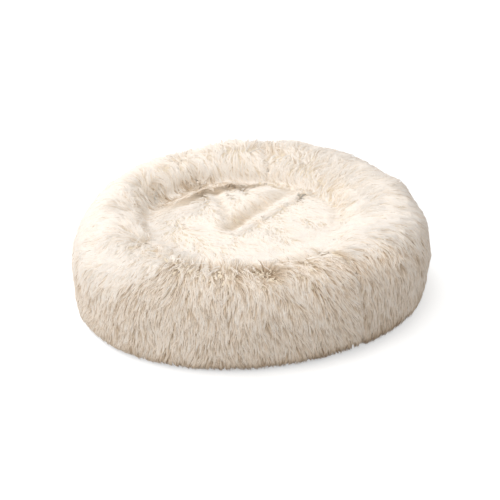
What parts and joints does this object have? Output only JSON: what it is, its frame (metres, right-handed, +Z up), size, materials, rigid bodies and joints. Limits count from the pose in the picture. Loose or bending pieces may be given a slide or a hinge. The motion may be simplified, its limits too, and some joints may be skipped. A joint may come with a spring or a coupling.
{
  "type": "round pet bed",
  "caption": "Round plush pet bed with a stuffed shag rim, a puffed centre cushion and a washable cover zipped at the back of its foot.",
  "frame": {"origin": "on the floor, under the middle of the bed's box", "axes": "+Z up; -Y is the front, the side that the picture is taken from; +X is to the right as seen from the front; the bed's longest width runs nearest to X"},
  "size_m": [0.5898, 0.5416, 0.1828],
  "materials": {
    "shag_fur": "long cream shag pile, soft sheen",
    "lining_cloth": "thin off-white lining, matt",
    "fibre_filling": "white fibre wadding",
    "base_cloth": "grey-brown plain woven cloth, matt",
    "binding_tape": "grey-brown woven tape, matt",
    "zip_tape": "woven zip tape, matt",
    "zip_coil": "satin nylon",
    "zip_metal": "nickel plated, lightly brushed"
  },
  "bodies": {
    "bed": {"rim_fur_right": "shag_fur", "rim_fur_left": "shag_fur", "centre_fur": "shag_fur", "rim_liner": "lining_cloth", "rim_filling": "fibre_filling", "cushion_casing": "lining_cloth", "cushion_filling": "fibre_filling", "base_cloth": "base_cloth", "base_binding": "binding_tape", "zip_tape_lower": "zip_tape", "zip_tape_upper": "zip_tape", "zip_coil_lower": "zip_coil", "zip_coil_upper": "zip_coil", "zip_top_stop": "zip_metal", "zip_bottom_stop": "zip_metal"},
    "zip_slider": {"zip_slider": "zip_metal"},
    "zip_pull": {"zip_pull": "zip_metal"}
  },
  "joints": [
    {"name": "zip_run", "type": "hinge", "parent": "bed", "child": "zip_slider", "pos_m": [0.04271, -0.08383, 0.0134], "axis": [0, 0, 1], "range_deg": [0, 39]},
    {"name": "pull_swing", "type": "hinge", "parent": "zip_slider", "child": "zip_pull", "pos_m": [-0.00027, 0.24484, 0.0134], "axis": [0, 0, -1], "range_deg": [0, 175]}
  ]
}
